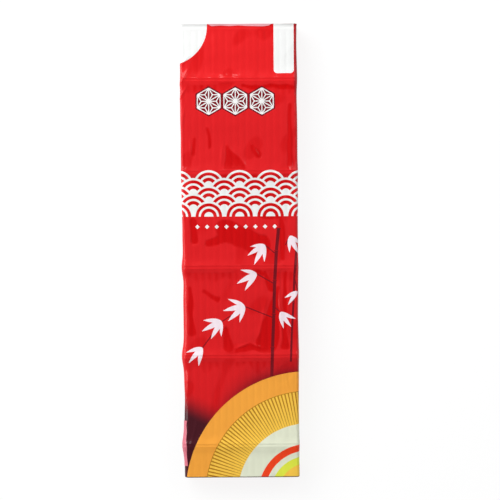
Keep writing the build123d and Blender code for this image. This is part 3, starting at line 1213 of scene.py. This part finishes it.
def back_patches(shell, seam):
    """The flat back in two lengths of film that overlap at the lap seam."""
    reach = SLEEVE_HIGH[0] - 0.9 * MM
    y_places = np.linspace(CLOSED_END + 0.5 * MM, MOUTH, 204)
    for x_low, x_high, under in ((-reach, seam / 2, False), (-seam / 2, reach, True)):
        columns = np.linspace(x_low, x_high, int((x_high - x_low) / (0.6 * MM)))
        x, y = np.meshgrid(columns, y_places, indexing="ij")

        def place(x, y):
            gap = ((1 + np.cos(2 * np.pi * x / PITCH)) / 2) ** 2
            level = 0.03 * MM + 0.05 * MM * (1 + waves(x, y, 16 * MM, 71)) * (1 - gap)
            in_seam = smooth((seam / 2 - np.abs(x)) / (0.5 * MM))
            crimp = 0.02 * MM * (1 + np.sin(2 * np.pi * y / (1.5 * MM))) * in_seam
            level = level * (1 - 0.7 * in_seam) + crimp
            if under:
                level = level + 1.6 * shell.thickness * smooth((seam / 2 + 0.8 * MM - x) / (0.8 * MM))
            return np.stack((x, y, level), -1)

        shell.add_grid(place(x, y), -surface_normals(place, x, y), "ground")


# --- Stage ---

FLOOR_HALF = 2.0
FRAME_WIDTH = 269 * MM
LENS = 100
SENSOR_WIDTH = 36

# Soft lamps: name, place in metres, width and height in metres, and power in watts
LAMPS = (
    ("window_light", (-0.45, 0.62, 0.6), (0.7, 0.7), 7.3),
    ("strip_light", (-0.75, 0.1, 0.5), (0.6, 0.4), 2.9),
    ("fill_light", (0.6, 0.55, 0.75), (0.7, 0.7), 2.8),
)


def floor_material():
    """Matt white paper: even and pale, with the pack's shadow kept."""
    material, tree = new_material("white_paper")
    fibre = add(tree, "TexNoise", {"Vector": scaled_place(tree, 2 * MM, 2 * MM, 2 * MM), "Scale": 1.0})
    shade = add(tree, "MapRange", {"Value": fibre.outputs[0], "To Min": 0.985, "To Max": 1.0})
    colours = {0: shade.outputs[0], 6: rgba(linear("#000000")), 7: rgba(linear("#C4C4C4"))}
    base = add(tree, "Mix", colours, data_type="RGBA").outputs[2]
    paper = add(tree, "BsdfDiffuse", {"Color": base})
    glow = add(tree, "Emission", {"Color": rgba(linear("#FFFFFF")), "Strength": 0.87})
    faint = add(tree, "BsdfDiffuse", {"Color": rgba(linear("#6F6F6F"))})
    lit = add(tree, "AddShader", {0: faint.outputs[0], 1: glow.outputs[0]})
    # The camera and the gloss see the glowing sheet. Other rays meet a greyer one, which
    # throws less light back on the pack
    path = add(tree, "LightPath")
    looked_at = path.outputs["Is Camera Ray"]
    for ray in ("Is Glossy Ray", "Is Transmission Ray"):
        looked_at = add(tree, "Math", {0: looked_at, 1: path.outputs[ray]}, operation="MAXIMUM").outputs[0]
    seen = add(tree, "MixShader", {0: looked_at, 1: paper.outputs[0], 2: lit.outputs[0]})
    add(tree, "OutputMaterial", {"Surface": seen.outputs[0]})
    return material


def studio_world():
    """Pale studio walls under a dark ceiling, which leaves the flat film free of haze."""
    world = bpy.data.worlds.new("studio")
    world.use_nodes = True
    tree = world.node_tree
    tree.nodes.clear()
    place = add(tree, "TexCoord")
    height = add(tree, "SeparateXYZ", {"Vector": place.outputs["Generated"]})
    wall = {"Value": height.outputs["Z"], "From Min": 0.15, "From Max": 0.6, "To Min": 1.0, "To Max": 0.12}
    level = add(tree, "MapRange", wall, interpolation_type="SMOOTHSTEP")
    studio = add(tree, "Background", {"Color": rgba(linear("#FFFFFF")), "Strength": level.outputs[0]})
    add(tree, "OutputWorld", {"Surface": studio.outputs[0]})
    return world


def add_lamp(name, place, size, watts):
    """A soft lamp, this wide and high, aimed at the pack."""
    lamp = bpy.data.lights.new(name, "AREA")
    lamp.shape = "RECTANGLE"
    lamp.size, lamp.size_y = size
    lamp.energy = watts
    holder = bpy.data.objects.new(name, lamp)
    holder.location = place
    holder.rotation_euler = (-Vector(place)).to_track_quat("-Z", "Y").to_euler()
    bpy.context.scene.collection.objects.link(holder)


def add_camera(scene):
    """The camera straight above, turned a little as in the photograph."""
    lens = bpy.data.cameras.new("camera")
    lens.lens = LENS
    lens.sensor_width = SENSOR_WIDTH
    distance = FRAME_WIDTH * LENS / SENSOR_WIDTH
    holder = bpy.data.objects.new("camera", lens)
    holder.location = (5.4 * MM, 0.4 * MM, TOP_SLATS + distance)
    holder.rotation_euler = (0, 0, math.radians(-0.38))
    lens.clip_start, lens.clip_end = 0.01, 10
    scene.collection.objects.link(holder)
    scene.camera = holder


# --- Operators ---


class MAT_OT_slats(bpy.types.Operator):
    """Adds the planed bamboo strips of each layer and each edge of the folded mat."""

    bl_idname = "rolling_mat.slats"
    bl_label = "Bamboo slats"

    def execute(self, context):
        settings = context.scene.mat_settings
        materials = [bamboo_material(settings), sawn_end_material(settings)]
        for index, run in enumerate(RUNS):
            points, faces, kinds, tones, nodes = slat_run(run, FIRST_SLATS[index], settings)
            piece = make_object(f"bamboo_slats_{run.body}", points, faces, materials, kinds)
            mark_points(piece, "tone", tones)
            mark_points(piece, "culm_node", nodes)
            piece.data.set_sharp_from_angle(angle=math.radians(50))
            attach(piece, run.body)
            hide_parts(f"{run.body}_slats")
        return {"FINISHED"}


class MAT_OT_twine(bpy.types.Operator):
    """Adds the two woven strands of each twine row on each layer and edge."""

    bl_idname = "rolling_mat.twine"
    bl_label = "Twine strands"

    def execute(self, context):
        settings = context.scene.mat_settings
        material = twine_material(settings)
        for index, run in enumerate(RUNS):
            points, faces = twine_run(run, index, FIRST_SLATS[index], settings)
            piece = make_object(f"cotton_twine_{run.body}", points, faces, [material])
            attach(piece, run.body)
            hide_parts(*[f"{run.body}_twine_{row}" for row in range(1, 6)])
        return {"FINISHED"}


class MAT_OT_knots(bpy.types.Operator):
    """Adds the tied and frayed ends of the twine at both free edges of the mat."""

    bl_idname = "rolling_mat.knots"
    bl_label = "Tied ends"

    def execute(self, context):
        settings = context.scene.mat_settings
        material = bpy.data.materials["cotton_twine"]
        for run, at_start in ((RUNS[0], True), (RUNS[-1], False)):
            points, faces = knot_set(run, at_start, settings)
            piece = make_object(f"twine_knots_{run.body}", points, faces, [material])
            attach(piece, run.body)
            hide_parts(f"{run.body}_knots")
        return {"FINISHED"}


class MAT_OT_sleeve_front(bpy.types.Operator):
    """Adds the printed front of the film sleeve with its sides, folds and closed end."""

    bl_idname = "rolling_mat.sleeve_front"
    bl_label = "Printed sleeve"

    def execute(self, context):
        film, colours = context.scene.film_settings, context.scene.print_settings
        shell = Film(film.thickness)
        sheet_patch(shell, film)
        end_patch(shell)
        corner_ear(shell, film)
        mouth_turn(shell, film)
        piece = shell.build("film_sleeve_front", [film_material(ink, colours) for ink in INKS])
        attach(piece, "sleeve")
        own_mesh(piece)
        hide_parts("film_front")
        return {"FINISHED"}


class MAT_OT_sleeve_back(bpy.types.Operator):
    """Adds the flat back of the film sleeve with its lap seam."""

    bl_idname = "rolling_mat.sleeve_back"
    bl_label = "Sleeve back"

    def execute(self, context):
        film = context.scene.film_settings
        shell = Film(film.thickness)
        back_patches(shell, film.seam_width)
        materials = [bpy.data.materials[f"printed_film_{ink}"] for ink in INKS]
        piece = shell.build("film_sleeve_back", materials)
        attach(piece, "sleeve")
        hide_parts("film_back")
        return {"FINISHED"}


class MAT_OT_stage(bpy.types.Operator):
    """Adds the pale floor, the soft lamps and the camera above the pack."""

    bl_idname = "rolling_mat.stage"
    bl_label = "Stage"

    def execute(self, context):
        corners = [(x * FLOOR_HALF, y * FLOOR_HALF, 0) for x, y in ((-1, -1), (1, -1), (1, 1), (-1, 1))]
        floor = make_object("floor", corners, [(0, 1, 2, 3)], [floor_material()])
        for lamp in LAMPS:
            add_lamp(*lamp)
        context.scene.world = studio_world()
        context.scene.view_settings.view_transform = "Standard"
        add_camera(context.scene)
        return {"FINISHED"}


STEPS = (MAT_OT_stage, MAT_OT_slats, MAT_OT_twine, MAT_OT_knots, MAT_OT_sleeve_front, MAT_OT_sleeve_back)


class MAT_PT_panel(bpy.types.Panel):
    """Lists the steps that dress the mat."""

    bl_idname = "MAT_PT_panel"
    bl_label = "Rolling Mat"
    bl_space_type = "VIEW_3D"
    bl_region_type = "UI"
    bl_category = "Rolling Mat"

    def draw(self, context):
        for step in STEPS:
            self.layout.operator(step.bl_idname)
        for group in (context.scene.mat_settings, context.scene.film_settings, context.scene.print_settings):
            for name in group.__annotations__:
                self.layout.prop(group, name)


GROUPS = (("mat_settings", MatSettings), ("film_settings", FilmSettings), ("print_settings", PrintSettings))


def register():
    for cls in (*[group for _, group in GROUPS], *STEPS, MAT_PT_panel):
        bpy.utils.register_class(cls)
    for name, group in GROUPS:
        setattr(bpy.types.Scene, name, bpy.props.PointerProperty(type=group))


def unregister():
    for name, _ in GROUPS:
        delattr(bpy.types.Scene, name)
    for cls in (MAT_PT_panel, *reversed(STEPS), *[group for _, group in GROUPS]):
        bpy.utils.unregister_class(cls)


def main():
    register()
    bpy.ops.rolling_mat.stage()
    bpy.ops.rolling_mat.slats()
    bpy.ops.rolling_mat.twine()
    bpy.ops.rolling_mat.knots()
    bpy.ops.rolling_mat.sleeve_front()
    bpy.ops.rolling_mat.sleeve_back()
    bpy.context.view_layer.update()


if __name__ == "__main__":
    main()
